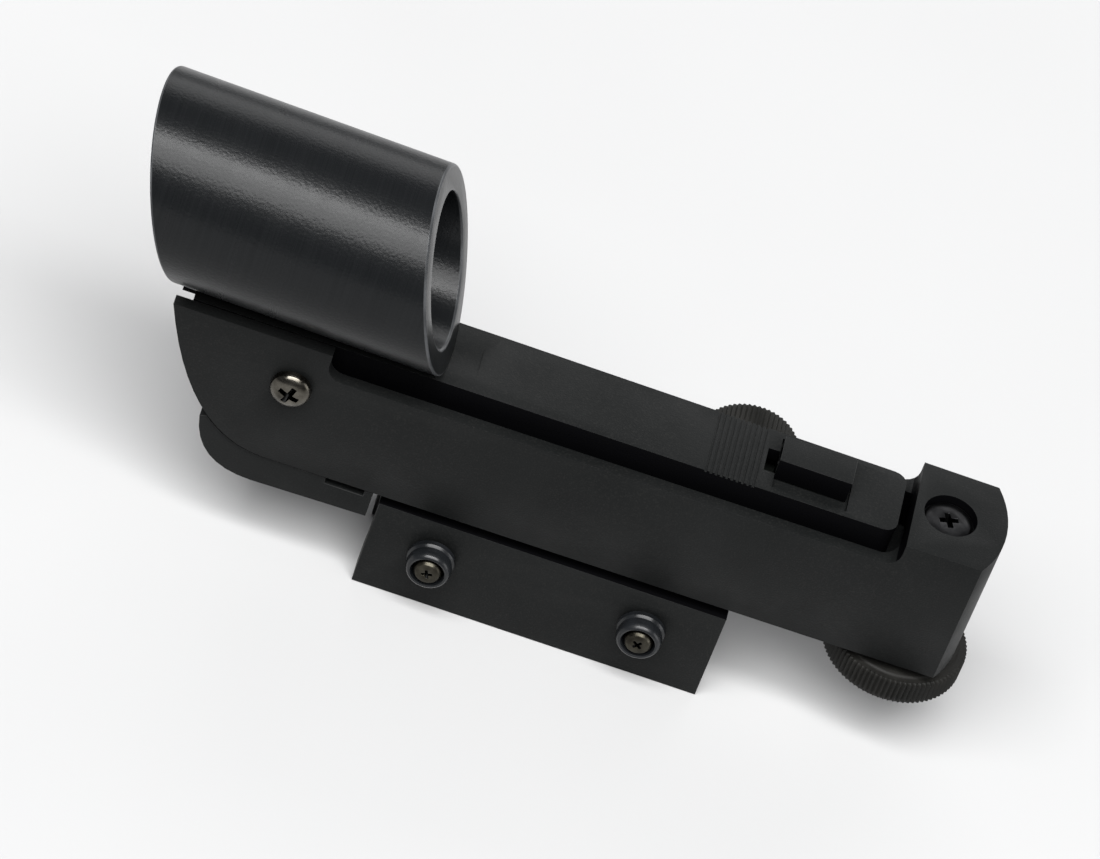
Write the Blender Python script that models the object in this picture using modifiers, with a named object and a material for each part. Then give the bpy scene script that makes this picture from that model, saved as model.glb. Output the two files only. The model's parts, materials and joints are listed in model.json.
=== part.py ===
"""Zero-power red-dot finder scope on a dovetail shoe, made as separate named pieces.

The frame: the origin is the middle of the roof of the shoe's dovetail slot, which sits on the
telescope's finder bar. +X points to the eye, -X to the sky, +Y to the side with the two control
knobs, and +Z up through the sight tube. All the sizes below are in millimetres, and the helpers
turn them into metres as they make a mesh.
"""

import math

import bmesh
import bpy
from mathutils import Matrix, Vector

MM = 0.001
GAP = 0.3  # what touching pieces keep between them
NUDGE = 0.5  # how far a cutter runs past the face that it cuts

# The shoe and its dovetail slot
SHOE_LENGTH = 53.5
SHOE_HALF_WIDTH = 9.4
SHOE_TOP = 3.4
SHOE_BOTTOM = -13.3
SLOT_HEAD_HALF = 7.0
SLOT_NECK_HALF = 5.0
SLOT_HEAD_DEPTH = 5.0
SLOT_NECK_TOP = -8.5
CLAMP_X = (-16.85, 15.65)
CLAMP_Z = -3.5

# The swivel between the shoe and the channel
SWIVEL_X = -16.85
POST_X = 22.05
POST_RADIUS, POST_TOP = 2.6, 19.5

# The channel, which narrows a little towards the eye
CHANNEL_FRONT = -64.25
CHANNEL_BACK = 58.05
CHANNEL_BULGE = 2.5
CHANNEL_FRONT_HALF = 9.9
CHANNEL_BACK_HALF = 8.95
CHANNEL_BOTTOM = 5.2
WALL = 2.0
WALL_TOP = 24.1
EAR_TOP = 28.7
EAR_BACK = -40.25
BLOCK_FRONT = 46.55
NOSE_START = -45.25  # where the flat bottom turns up into the rounded front
POCKET_FRONT_TOP = 18.7

# The tilting sight: pivot, beam and tube
PIVOT_X, PIVOT_Z = -44.45, 20.7
BEAM_FRONT, BEAM_BACK = -61.75, 44.75
BEAM_TOP, BEAM_BOTTOM = 27.75, 21.0
BEAM_HALF = 6.6
BEAM_TAPER = 0.0067
TAPER_START = -17.25
BEAM_SKIN = 1.5
TONGUE_LOW, TONGUE_HIGH = 16.0, 19.6
TONGUE_HALF, TONGUE_END = 4.4, 56.4
TUBE_RADIUS, BORE_RADIUS = 14.75, 11.0
TUBE_MIDDLE = (-49.25, 43.2)
TUBE_PITCH = math.radians(1.4)
TUBE_LOW, TUBE_HIGH = 28.45, 57.95
TUBE_FRONT_LOW, TUBE_FRONT_HIGH = -63.75, -75.05
TUBE_BACK_LOW, TUBE_BACK_HIGH = -24.05, -33.7
NECK_HALF = 4.5
TUBE_SCREW_TOP = 31.0
NECK_FRONT, NECK_BACK = -63.7, -25.5

# The light: a 3 mm LED under a hood, shining at the window
LED_X, LED_Z = 26.4, 28.7
LED_RADIUS = 1.5
HOOD_FRONT, HOOD_BACK = 25.65, 36.65
HOOD_HALF, HOOD_TOP = 2.6, 30.8
HOOD_SEAT, HOOD_SEAT_HALF = 26.7, 5.2
PIT_FRONT, PIT_HALF = 23.95, 2.35
GROOVES, GROOVE_PITCH = 10, 0.8

# The window, curved so that the LED lies at its mirror's focus
WINDOW_X = -61.5
WINDOW_RADIUS, SEAT_RADIUS = 11.7, 12.0
WINDOW_THICKNESS = 2.2

# The controls
AZIMUTH_Z = 16.5
AZIMUTH_KNOB_RADIUS = 7.5
ALTITUDE_X = 51.95
ALTITUDE_KNOB_RADIUS = 10.65
ALTITUDE_KNOB_TOP, ALTITUDE_KNOB_LOW = 3.6, -1.3
BRIGHTNESS_X, BRIGHTNESS_Z = -8.8, 13.7
BRIGHTNESS_KNOB_RADIUS = 5.2

# The battery bay under the nose
CELL_X, CELL_RADIUS = -39.95, 8.0
CELL_LOW, CELL_HIGH = 1.3, 4.5
COVER_HALF = 9.45
COVER_BACK = -28.05
COVER_BOTTOM = -0.4
TRAY_FRONT, TRAY_BACK = -49.65, -29.25
TRAY_HALF = 8.35


# ---------------------------------------------------------------- scene and helpers

for old in list(bpy.data.objects):
    bpy.data.objects.remove(old, do_unlink=True)

PARTS = bpy.data.collections.new("finder_scope")
CUTTERS = bpy.data.collections.new("cutters")
for made in (PARTS, CUTTERS):
    bpy.context.scene.collection.children.link(made)


def material(name, colour, roughness, metallic=0.0, transmission=0.0):
    made = bpy.data.materials.new(name)
    made.use_nodes = True
    shader = made.node_tree.nodes["Principled BSDF"]
    shader.inputs["Base Color"].default_value = (*colour, 1.0)
    shader.inputs["Roughness"].default_value = roughness
    shader.inputs["Metallic"].default_value = metallic
    shader.inputs["Transmission Weight"].default_value = transmission
    return made


BODY_BLACK = material("body_black", (0.022, 0.023, 0.022), 0.55)
TUBE_BLACK = material("tube_black", (0.018, 0.019, 0.021), 0.32, 0.6)
KNOB_BLACK = material("knob_black", (0.02, 0.02, 0.019), 0.6)
BUSH_BLACK = material("bush_black", (0.015, 0.017, 0.02), 0.22, 0.7)
SCREW_BRIGHT = material("screw_bright", (0.55, 0.52, 0.42), 0.28, 1.0)
SCREW_BLACK = material("screw_black", (0.03, 0.03, 0.032), 0.4, 0.8)
BRASS = material("brass", (0.62, 0.46, 0.2), 0.35, 1.0)
NYLON = material("nylon", (0.6, 0.58, 0.52), 0.5)
WINDOW_GLASS = material("window_glass", (0.85, 0.75, 0.7), 0.03, 0.0, 0.9)
LED_RED = material("led_red", (0.6, 0.03, 0.02), 0.15)
BOARD_GREEN = material("board_green", (0.03, 0.16, 0.06), 0.4)
CELL_STEEL = material("cell_steel", (0.6, 0.6, 0.6), 0.3, 1.0)
LEAD_RED = material("lead_red", (0.45, 0.02, 0.02), 0.5)
LEAD_DARK = material("lead_dark", (0.02, 0.02, 0.02), 0.5)


def add_object(name, mesh, finish=None):
    """Puts a mesh in the scene: a piece when it has a finish, otherwise a cutter."""
    made = bpy.data.objects.new(name, mesh)
    if finish is None:
        CUTTERS.objects.link(made)
        made.hide_render = True
        made.display_type = "WIRE"
    else:
        PARTS.objects.link(made)
        mesh.materials.clear()
        mesh.materials.append(finish)
    return made


def finish_mesh(name, shape, finish, smooth=False):
    bmesh.ops.remove_doubles(shape, verts=shape.verts, dist=1e-6)
    bmesh.ops.recalc_face_normals(shape, faces=shape.faces)
    mesh = bpy.data.meshes.new(name)
    shape.to_mesh(mesh)
    shape.free()
    if smooth:
        mesh.shade_smooth()
        mesh.set_sharp_from_angle(angle=math.radians(35))
    return add_object(name, mesh, finish)


def box(name, x, y, z, finish=None):
    """A block from its low and high x, y and z."""
    low = Vector((x[0], y[0], z[0])) * MM
    high = Vector((x[1], y[1], z[1])) * MM
    shape = bmesh.new()
    bmesh.ops.create_cube(shape, size=1.0)
    bmesh.ops.scale(shape, vec=high - low, verts=shape.verts)
    bmesh.ops.translate(shape, vec=(low + high) / 2, verts=shape.verts)
    return finish_mesh(name, shape, finish)


def along(start, direction):
    """The matrix that puts a shape made along +Z at start, running along direction."""
    turn = Vector((0, 0, 1)).rotation_difference(Vector(direction)).to_matrix().to_4x4()
    return Matrix.Translation(Vector(start) * MM) @ turn


def rod(name, radius, start, end, finish=None, sides=24, end_radius=None):
    """A cylinder or, with end_radius, a cone between two points."""
    start, end = Vector(start), Vector(end)
    length = (end - start).length * MM
    shape = bmesh.new()
    bmesh.ops.create_cone(
        shape,
        cap_ends=True,
        segments=sides,
        radius1=radius * MM,
        radius2=(radius if end_radius is None else end_radius) * MM,
        depth=length,
        matrix=along(start, end - start) @ Matrix.Translation((0, 0, length / 2)),
    )
    return finish_mesh(name, shape, finish, smooth=True)


def turned(name, profile, start, direction, finish=None, sides=32, closed=True):
    """A profile of (radius, height) points spun about the line from start along direction.
    An open profile starts and ends on the axis. A closed one goes round a bore."""
    mesh = bpy.data.meshes.new(name)
    points = [(radius * MM, 0.0, height * MM) for radius, height in profile]
    last = len(points) - 1
    edges = [(i, i + 1) for i in range(last)] + ([(last, 0)] if closed else [])
    mesh.from_pydata(points, edges, [])
    spun = add_object(name, mesh, finish)
    screw = spun.modifiers.new("turn", "SCREW")
    screw.steps = screw.render_steps = sides
    screw.use_merge_vertices = True
    screw.merge_threshold = 1e-5
    made = made_mesh(spun)
    shape = bmesh.new()
    shape.from_mesh(made)
    shape.transform(along(start, direction))
    bpy.data.objects.remove(spun)
    return finish_mesh(name, shape, finish, smooth=True)


def made_mesh(thing):
    bpy.context.view_layer.update()
    graph = bpy.context.evaluated_depsgraph_get()
    return bpy.data.meshes.new_from_object(thing.evaluated_get(graph))


TO_SIDE = Matrix(((1, 0, 0, 0), (0, 0, -1, 0), (0, 1, 0, 0), (0, 0, 0, 1)))
TO_END = Matrix(((0, 0, 1, 0), (1, 0, 0, 0), (0, 1, 0, 0), (0, 0, 0, 1)))
PLANES = {"XY": (Matrix.Identity(4), 1), "XZ": (TO_SIDE, -1), "YZ": (TO_END, 1)}


def slab(name, outline, low, high, plane, finish=None):
    """A flat outline in the XY, XZ or YZ plane, filled from low to high along the third axis."""
    flat = bpy.data.curves.new(name, "CURVE")
    flat.dimensions = "2D"
    flat.fill_mode = "BOTH"
    flat.extrude = (high - low) / 2 * MM
    line = flat.splines.new("POLY")
    line.points.add(len(outline) - 1)
    for point, (across, up) in zip(line.points, outline):
        point.co = (across * MM, up * MM, 0, 1)
    line.use_cyclic_u = True
    guide = bpy.data.objects.new(name, flat)
    CUTTERS.objects.link(guide)
    turn, sign = PLANES[plane]
    shape = bmesh.new()
    shape.from_mesh(made_mesh(guide))
    shift = Matrix.Translation((0, 0, sign * (low + high) / 2 * MM))
    shape.transform(turn @ shift)
    bpy.data.objects.remove(guide)
    return finish_mesh(name, shape, finish)


def boolean(piece, operation, others):
    for other in others:
        step = piece.modifiers.new(other.name, "BOOLEAN")
        step.operation = operation
        step.solver = "EXACT"
        step.object = other
    return piece


def cut(piece, *others):
    return boolean(piece, "DIFFERENCE", others)


def join(piece, *others):
    return boolean(piece, "UNION", others)


def keep_common(piece, other):
    return boolean(piece, "INTERSECT", [other])


def arc(centre, radius, start, end, steps):
    """Points on an arc, with its angles in degrees."""
    angles = [math.radians(start + (end - start) * i / steps) for i in range(steps + 1)]
    return [(centre[0] + radius * math.cos(a), centre[1] + radius * math.sin(a)) for a in angles]


def bend(first, pull, last, steps, start=0.0):
    """Points on the curve that leaves first towards pull and arrives at last from it."""
    found = []
    for i in range(steps + 1):
        t = start + (1 - start) * i / steps
        a, b, c = (1 - t) ** 2, 2 * t * (1 - t), t * t
        found.append(tuple(a * p + b * q + c * r for p, q, r in zip(first, pull, last)))
    return found


def cross_recess(name, centre, direction, reach, width, depth):
    """A cross-shaped bar that cuts a Phillips recess. centre is the middle of the head's face."""
    side = width / 2
    corner = [(reach, -side), (reach, side), (side, side)]
    outline = []
    for quarter in range(4):
        turn = Matrix.Rotation(math.radians(45 + 90 * quarter), 2)
        outline += [tuple(turn @ Vector(point)) for point in corner]
    bar = slab(name, outline, -depth, depth, "XY")
    bar.data.transform(along(centre, direction))
    return bar


def half_width(x):
    """The channel's outer half width at x."""
    share = (x - CHANNEL_FRONT) / (CHANNEL_BACK - CHANNEL_FRONT)
    return CHANNEL_FRONT_HALF + (CHANNEL_BACK_HALF - CHANNEL_FRONT_HALF) * share


# ---------------------------------------------------------------- the shoe


def make_shoe():
    half = SHOE_LENGTH / 2
    sides = (-SHOE_HALF_WIDTH, SHOE_HALF_WIDTH)
    shoe = box("mounting_shoe", (-half, half), sides, (SHOE_BOTTOM, SHOE_TOP), BODY_BLACK)
    right = [
        (SLOT_HEAD_HALF, 0),
        (SLOT_HEAD_HALF, -SLOT_HEAD_DEPTH),
        (SLOT_NECK_HALF, SLOT_NECK_TOP),
        (SLOT_NECK_HALF, SHOE_BOTTOM - NUDGE),
    ]
    outline = right + [(-y, z) for y, z in reversed(right)]
    cut(shoe, slab("dovetail_slot", outline, -half - NUDGE, half + NUDGE, "YZ"))
    cut(shoe, rod("swivel_hole", 1.8, (SWIVEL_X, 0, 0.8), (SWIVEL_X, 0, SHOE_TOP + NUDGE)))
    cut(shoe, rod("post_hole", 2.3, (POST_X, 0, 0.8), (POST_X, 0, SHOE_TOP + NUDGE)))
    face = -SHOE_HALF_WIDTH
    for end, x in zip(("front", "rear"), CLAMP_X):
        hole_start, hole_end = (x, face - NUDGE, CLAMP_Z), (x, -SLOT_HEAD_HALF + NUDGE, CLAMP_Z)
        cut(shoe, rod(f"bush_hole_{end}", 2.6, hole_start, hole_end))
        make_clamp(end, x, face)


def make_clamp(end, x, face):
    """A threaded bush in the shoe's wall and the screw that presses on the finder bar."""
    start = (x, face, CLAMP_Z)
    outwards = (0, -1, 0)
    bush = [(2.45, 3.6), (3.0, 3.6), (3.25, 3.1), (3.6, GAP), (2.3, GAP), (2.3, -2.1), (1.75, -2.1)]
    bush += [(1.75, 0.2), (2.45, 0.2)]
    turned(f"clamp_bush_{end}", bush, start, outwards, BUSH_BLACK)
    end_out = 3.9
    screw = [(0, end_out), (1.6, end_out), (2.1, end_out - 0.5), (2.1, 0.5), (1.45, 0.5)]
    screw += [(1.45, -2.9), (0, -2.9)]
    screw = turned(f"clamp_screw_{end}", screw, start, outwards, SCREW_BRIGHT, closed=False)
    head = (x, face - end_out, CLAMP_Z)
    cut(screw, cross_recess(f"clamp_recess_{end}", head, outwards, 1.3, 0.6, 0.8))


def make_swivel():
    """The vertical screw that the channel swings on, and the post that its azimuth screw pushes."""
    up = (0, 0, 1)
    gap_low, gap_high = SHOE_TOP + GAP, CHANNEL_BOTTOM - GAP
    ring = [(2.1, gap_high), (6.0, gap_high), (6.0, gap_low), (2.1, gap_low)]
    turned("swivel_washer", ring, (SWIVEL_X, 0, 0), up, NYLON)
    floor = CHANNEL_BOTTOM + WALL
    screw = [(0, floor + 2.3), (2.6, floor + 2.3), (3.1, floor + 1.8), (3.1, floor + GAP)]
    screw += [(1.5, floor + GAP), (1.5, 1.1), (0, 1.1)]
    screw = turned("swivel_screw", screw, (SWIVEL_X, 0, 0), up, SCREW_BLACK, closed=False)
    head = (SWIVEL_X, 0, floor + 2.3)
    cut(screw, cross_recess("swivel_recess", head, up, 1.6, 0.7, 1.1))
    post = [(0, POST_TOP), (POST_RADIUS - 0.4, POST_TOP), (POST_RADIUS, POST_TOP - 0.4)]
    post += [(POST_RADIUS, gap_high)]
    post += [(4.2, gap_high), (4.2, gap_low), (2.0, gap_low), (2.0, 1.1), (0, 1.1)]
    post = turned("azimuth_post", post, (POST_X, 0, 0), up, BRASS, closed=False)
    through = [(POST_X, side * 4, AZIMUTH_Z) for side in (-1, 1)]
    cut(post, rod("post_thread", 1.8, *through))


# ---------------------------------------------------------------- the channel


def nose_curve(outward=0.0, steps=12, start=0.0):
    """The rounded front of the channel from the ear's corner down to the flat bottom."""
    first = (CHANNEL_FRONT - outward, EAR_TOP)
    pull = (CHANNEL_FRONT + 7 - outward, CHANNEL_BOTTOM + 0.4 - outward)
    return bend(first, pull, (NOSE_START, CHANNEL_BOTTOM - outward), steps, start)


def channel_side():
    ear_fillet = arc((EAR_BACK + 2.4, WALL_TOP + 2.4), 2.4, 180, 270, 5)
    block_fillet = arc((BLOCK_FRONT - 2.5, WALL_TOP + 2.5), 2.5, 270, 360, 5)
    back = CHANNEL_BACK + CHANNEL_BULGE + NUDGE
    outline = [(EAR_BACK, EAR_TOP), *ear_fillet, *block_fillet, (BLOCK_FRONT, EAR_TOP)]
    outline += [(back, EAR_TOP), (back, CHANNEL_BOTTOM)]
    return outline + list(reversed(nose_curve()))


def channel_plan():
    """The outline from above: straight tapering sides and a bowed back."""
    half = CHANNEL_BACK_HALF
    radius = (half**2 + CHANNEL_BULGE**2) / (2 * CHANNEL_BULGE)
    centre = CHANNEL_BACK + CHANNEL_BULGE - radius
    reach = math.degrees(math.asin(half / radius))
    front = CHANNEL_FRONT - NUDGE
    wide = half_width(front)
    return [(front, wide), (front, -wide), *arc((centre, 0), radius, -reach, reach, 12)]


def pocket_plan():
    """The space between the walls, with round corners at the rear block."""
    corner = 3.0
    front, back = CHANNEL_FRONT - 2, BLOCK_FRONT
    wide, narrow = half_width(front) - WALL, half_width(back) - WALL
    near = arc((back - corner, -narrow + corner), corner, -90, 0, 5)
    far = arc((back - corner, narrow - corner), corner, 0, 90, 5)
    return [(front, wide), (front, -wide), *near, *far]


def make_channel():
    channel = slab("base_channel", channel_side(), -12, 12, "XZ", BODY_BLACK)
    keep_common(channel, slab("channel_plan", channel_plan(), 0, 40, "XY"))
    floor = CHANNEL_BOTTOM + WALL
    front = CHANNEL_FRONT - 3
    inner_nose = bend((-59.0, POCKET_FRONT_TOP), (-56.0, floor + 0.4), (NOSE_START, floor), 8)
    side = [(front, 40), (front, POCKET_FRONT_TOP), *inner_nose, (60, floor), (60, 40)]
    pocket = slab("pocket_side", side, -12, 12, "XZ")
    keep_common(pocket, slab("pocket_plan", pocket_plan(), 0, 42, "XY"))
    cut(channel, pocket)
    cavity_half = TONGUE_HALF + 0.5
    cut(
        channel,
        box("block_cavity", (44, TONGUE_END + 0.8), (-cavity_half, cavity_half), (13.0, 22.6)),
    )
    cut(channel, *channel_holes(floor))
    join(channel, *cell_fences())


def channel_holes(floor):
    low, high = CHANNEL_BOTTOM - 5, floor + NUDGE
    head_seat = [(4.05, EAR_TOP + 1), (4.05, 26.9), (2.1, 24.9), (2.1, low)]
    head_seat = [(0, EAR_TOP + 1), *head_seat, (0, low)]
    wall_out = CHANNEL_FRONT_HALF + 3
    pivot_ends = [(PIVOT_X, side * wall_out, PIVOT_Z) for side in (-1, 1)]
    azimuth_ends = [(POST_X, y, AZIMUTH_Z) for y in (4, wall_out)]
    brightness_ends = [(BRIGHTNESS_X, y, BRIGHTNESS_Z) for y in (4, wall_out)]
    return [
        turned("altitude_seat", head_seat, (ALTITUDE_X, 0, 0), (0, 0, 1), closed=False),
        rod("pivot_hole", 1.9, *pivot_ends),
        rod("azimuth_hole", 1.8, *azimuth_ends),
        rod("brightness_hole", 1.9, *brightness_ends),
        rod("swivel_bore", 2.0, (SWIVEL_X, 0, low), (SWIVEL_X, 0, high)),
        box("post_slot", (POST_X - 3.2, POST_X + 3.2), (-4.6, 4.6), (low, high)),
        box("contact_recess", (-44.3, -35.7), (-4.1, 4.1), (low, CHANNEL_BOTTOM + 0.6)),
        box("top_contact_slot", (-37.4, -36.1), (-1.4, 1.4), (low, high)),
        box("side_contact_slot", (-32.1, -30.8), (-2.4, 2.4), (low, high)),
        box("latch_slot", (-29.5, -27.6), (-3.4, 3.4), (low, high)),
    ]


def cell_fences():
    """Two short walls under the nose that stop the cell from sliding forwards."""
    x = (CELL_X - CELL_RADIUS - 1.3, CELL_X - CELL_RADIUS - 0.4)
    z = (CHANNEL_BOTTOM - 2.6, CHANNEL_BOTTOM + 1.2)
    return [box(f"cell_fence_{n}", x, y, z) for n, y in enumerate(((-5, -2), (2, 5)))]


# ---------------------------------------------------------------- battery and brightness switch


def make_battery():
    rim = CELL_RADIUS
    cell = [(0, CELL_HIGH), (rim - 1.2, CELL_HIGH), (rim - 1.0, CELL_HIGH - 0.25)]
    cell += [(rim - 0.3, CELL_HIGH - 0.3), (rim, CELL_HIGH - 0.6), (rim, CELL_LOW + 0.2)]
    cell += [(rim - 0.2, CELL_LOW), (0, CELL_LOW)]
    turned("coin_cell", cell, (CELL_X, 0, 0), (0, 0, 1), CELL_STEEL, sides=40, closed=False)
    leaf_low = CELL_HIGH + GAP
    top = box("battery_contact_top", (-44.0, -36.4), (-3.7, 3.7), (leaf_low, leaf_low + 0.4), BRASS)
    join(top, box("top_contact_tail", (-36.9, -36.4), (-1.0, 1.0), (leaf_low, 11.0)))
    side_x = CELL_X + CELL_RADIUS + GAP
    side = (side_x, side_x + 0.4)
    low = CELL_LOW + 0.4
    box("battery_contact_side", side, (-2.0, 2.0), (low, 11.0), BRASS)


def make_cover():
    """The tray that closes the bay. It hooks in under the nose and drops open at the back."""
    lip = (CHANNEL_FRONT + 8.6, CHANNEL_BOTTOM + 3.6)
    keel = bend(lip, (CHANNEL_FRONT + 9.8, COVER_BOTTOM), (CHANNEL_FRONT + 18.5, COVER_BOTTOM), 8)
    flat = [(COVER_BACK, COVER_BOTTOM + 0.5), (COVER_BACK, CHANNEL_BOTTOM - GAP)]
    upper = [p for p in nose_curve(outward=GAP + 0.1, steps=24) if p[1] < lip[1] + 0.4]
    outline = keel + flat + list(reversed(upper))
    cover = slab("battery_cover", outline, -COVER_HALF, COVER_HALF, "XZ", BODY_BLACK)
    tray = (TRAY_FRONT, TRAY_BACK)
    cut(cover, box("tray", tray, (-TRAY_HALF, TRAY_HALF), (COVER_BOTTOM + 1.3, 9)))
    slit = (CHANNEL_BOTTOM - 1.4, CHANNEL_BOTTOM + 1)
    cut(cover, box("cover_slit", (-35.35, -29.35), (-12, 12), slit))
    latch = (CHANNEL_BOTTOM - 1.5, CHANNEL_BOTTOM + WALL - 0.2)
    join(cover, box("cover_latch", (-28.85, -28.15), (-3.0, 3.0), latch))


def make_brightness_switch():
    x, z = BRIGHTNESS_X, BRIGHTNESS_Z
    pot = box("brightness_pot", (x - 4.5, x + 4.5), (0.8, 7.1), (z - 4.6, z + 4.8), SCREW_BLACK)
    cut(pot, rod("pot_bore", 1.8, (x, 3, z), (x, 8, z)))
    rod("brightness_shaft", 1.5, (x, 3.4, z), (x, 13.0, z), BRASS)
    face = half_width(x) + 0.4
    out = face + 4.3
    r = BRIGHTNESS_KNOB_RADIUS
    knob = [(0, out), (r - 0.8, out), (r, out - 0.8), (r, face), (1.8, face), (1.8, 13.3), (0, 13.3)]
    turned("brightness_knob", knob, (x, 0, z), (0, 1, 0), KNOB_BLACK, sides=36, closed=False)
    floor = CHANNEL_BOTTOM + WALL
    box("circuit_board", (-5.5, 15.0), (-6.3, 6.3), (floor + GAP, floor + GAP + 1.2), BOARD_GREEN)


def make_lead(name, points, radius, finish):
    """A thin insulated wire through a list of points, smoothed and made a closed tube."""
    wire = bpy.data.curves.new(name, "CURVE")
    wire.dimensions = "3D"
    wire.bevel_depth = radius * MM
    wire.bevel_resolution = 2
    wire.use_fill_caps = True
    line = wire.splines.new("POLY")
    route = smooth_route([Vector(p) for p in points], 4)
    line.points.add(len(route) - 1)
    for point, place in zip(line.points, route):
        point.co = (*(place * MM), 1)
    guide = bpy.data.objects.new(name, wire)
    CUTTERS.objects.link(guide)
    shape = bmesh.new()
    shape.from_mesh(made_mesh(guide))
    bpy.data.objects.remove(guide)
    return finish_mesh(name, shape, finish, smooth=True)


def smooth_route(points, steps):
    """Points on a curve that passes through each of these (a Catmull-Rom curve)."""
    ends = [points[0] * 2 - points[1], *points, points[-1] * 2 - points[-2]]
    found = []
    for a, b, c, d in zip(ends, ends[1:], ends[2:], ends[3:]):
        for i in range(steps):
            t = i / steps
            found.append(
                ((2 * b) + (c - a) * t + (2 * a - 5 * b + 4 * c - d) * t**2 + (3 * (b - c) + d - a) * t**3)
                / 2
            )
    return found + [points[-1]]


def make_leads():
    """Battery leads along the floor, one down each side, and the lead that feeds the LED."""
    red = [(-36.0, 0, 10.4), (-33.5, -2.5, 10.2), (-28, -6.0, 8.6), (-16, -6.2, 8.2)]
    red += [(-9, -5.5, 8.3), (-6.0, -4.5, 8.6)]
    make_lead("battery_lead_red", red, 0.45, LEAD_RED)
    dark = [(-30.9, 0.6, 10.6), (-28.6, 2.2, 10.2), (-25, 5.0, 8.6), (-18, 6.2, 8.2)]
    dark += [(-9, 4.5, 8.3), (-6.0, 4.0, 8.6)]
    make_lead("battery_lead_dark", dark, 0.45, LEAD_DARK)
    feed = [(19.6, 0, 22.8), (12, 1.0, 22.6), (-4, 0.6, 22.4), (-22, 0, 22.4), (-30.5, 0, 21.0)]
    feed += [(-33.4, 0, 16.5), (-30.0, 0, 12.2), (-24.5, 0, 11.4)]
    make_lead("led_lead", feed, 0.5, LEAD_DARK)


# ---------------------------------------------------------------- the tilting sight


def beam_half(x):
    return min(BEAM_HALF, BEAM_HALF - BEAM_TAPER * (x - TAPER_START))


def beam_plan(x_low, x_high, inset=0.0, corner=0.0):
    near, far = beam_half(x_low) - inset, beam_half(x_high) - inset
    left = [(x_low, near)]
    if x_low < TAPER_START < x_high:
        left.append((TAPER_START, near))
    if corner:
        end = arc((x_high - corner, far - corner), corner, 90, 0, 4)
    else:
        end = [(x_high, far)]
    half = left + end
    return half + [(x, -y) for x, y in reversed(half)]


def make_beam():
    outline = beam_plan(BEAM_FRONT, BEAM_BACK, corner=2.0)
    beam = slab("sight_beam", outline, BEAM_BOTTOM, BEAM_TOP, "XY", BODY_BLACK)
    roof = BEAM_TOP - 2.0
    low = BEAM_BOTTOM - NUDGE
    cut(beam, slab("beam_hollow", beam_plan(-36.5, 39.5, BEAM_SKIN), low, roof, "XY"))
    cut(beam, slab("nose_hollow", beam_plan(-60.2, -52.5, BEAM_SKIN), low, roof, "XY"))
    lug = (-BEAM_HALF, BEAM_HALF)
    ends = [(PIVOT_X, y, PIVOT_Z) for y in lug]
    join(beam, rod("pivot_lug", 6.5, *ends, sides=32))
    tail_z = (TONGUE_LOW, BEAM_BOTTOM + 2)
    join(beam, box("tail", (39.0, BEAM_BACK), (-TONGUE_HALF, TONGUE_HALF), tail_z))
    tongue_z = (TONGUE_LOW, TONGUE_HIGH)
    join(beam, box("tongue", (42.0, TONGUE_END), (-TONGUE_HALF, TONGUE_HALF), tongue_z))
    neck_z = (BEAM_TOP - 1, TUBE_LOW + 4)
    join(beam, box("neck", (NECK_FRONT, NECK_BACK), (-NECK_HALF, NECK_HALF), neck_z))
    cut(beam, *beam_cuts(roof))


def tube_line(distance):
    """A point on the tube's axis, so far behind its middle."""
    x = TUBE_MIDDLE[0] + distance * math.cos(TUBE_PITCH)
    return (x, 0, TUBE_MIDDLE[1] - distance * math.sin(TUBE_PITCH))


def beam_cuts(roof):
    ends = [(PIVOT_X, y, PIVOT_Z) for y in (-10, 10)]
    seat_x = (HOOD_FRONT, HOOD_BACK + 0.4)
    seat_y = (-HOOD_SEAT_HALF, HOOD_SEAT_HALF)
    cutters = [
        rod("tube_bed", TUBE_RADIUS + GAP, tube_line(-30), tube_line(30), sides=96),
        rod("lug_bore", 1.9, *ends),
        box("hood_seat", seat_x, seat_y, (HOOD_SEAT, BEAM_TOP + 1)),
        box("led_pit", (PIT_FRONT, HOOD_FRONT), (-PIT_HALF, PIT_HALF), (roof - 1, BEAM_TOP + 1)),
        box("lead_slot", (31.0, 33.2), (-1.9, 1.9), (roof - 1, BEAM_TOP + 1)),
        rod("nut_pocket", 3.3, (ALTITUDE_X, 0, 17.2), (ALTITUDE_X, 0, 21)),
        rod("tongue_bore", 2.3, (ALTITUDE_X, 0, 15), (ALTITUDE_X, 0, 18)),
    ]
    for end, x in tube_screws():
        cutters.append(rod(f"tube_screw_hole_{end}", 1.6, (x, 0, roof - 1), (x, 0, 34)))
    first = PIT_FRONT - 0.7
    for number in range(GROOVES):
        x = first - number * GROOVE_PITCH
        depth = (BEAM_TOP - 0.3, BEAM_TOP + 1)
        cutters.append(box(f"groove_{number}", (x - 0.4, x), (-10, 10), depth))
    return cutters


def tube_screws():
    return (("front", -56.3), ("rear", -31.0))


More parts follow.
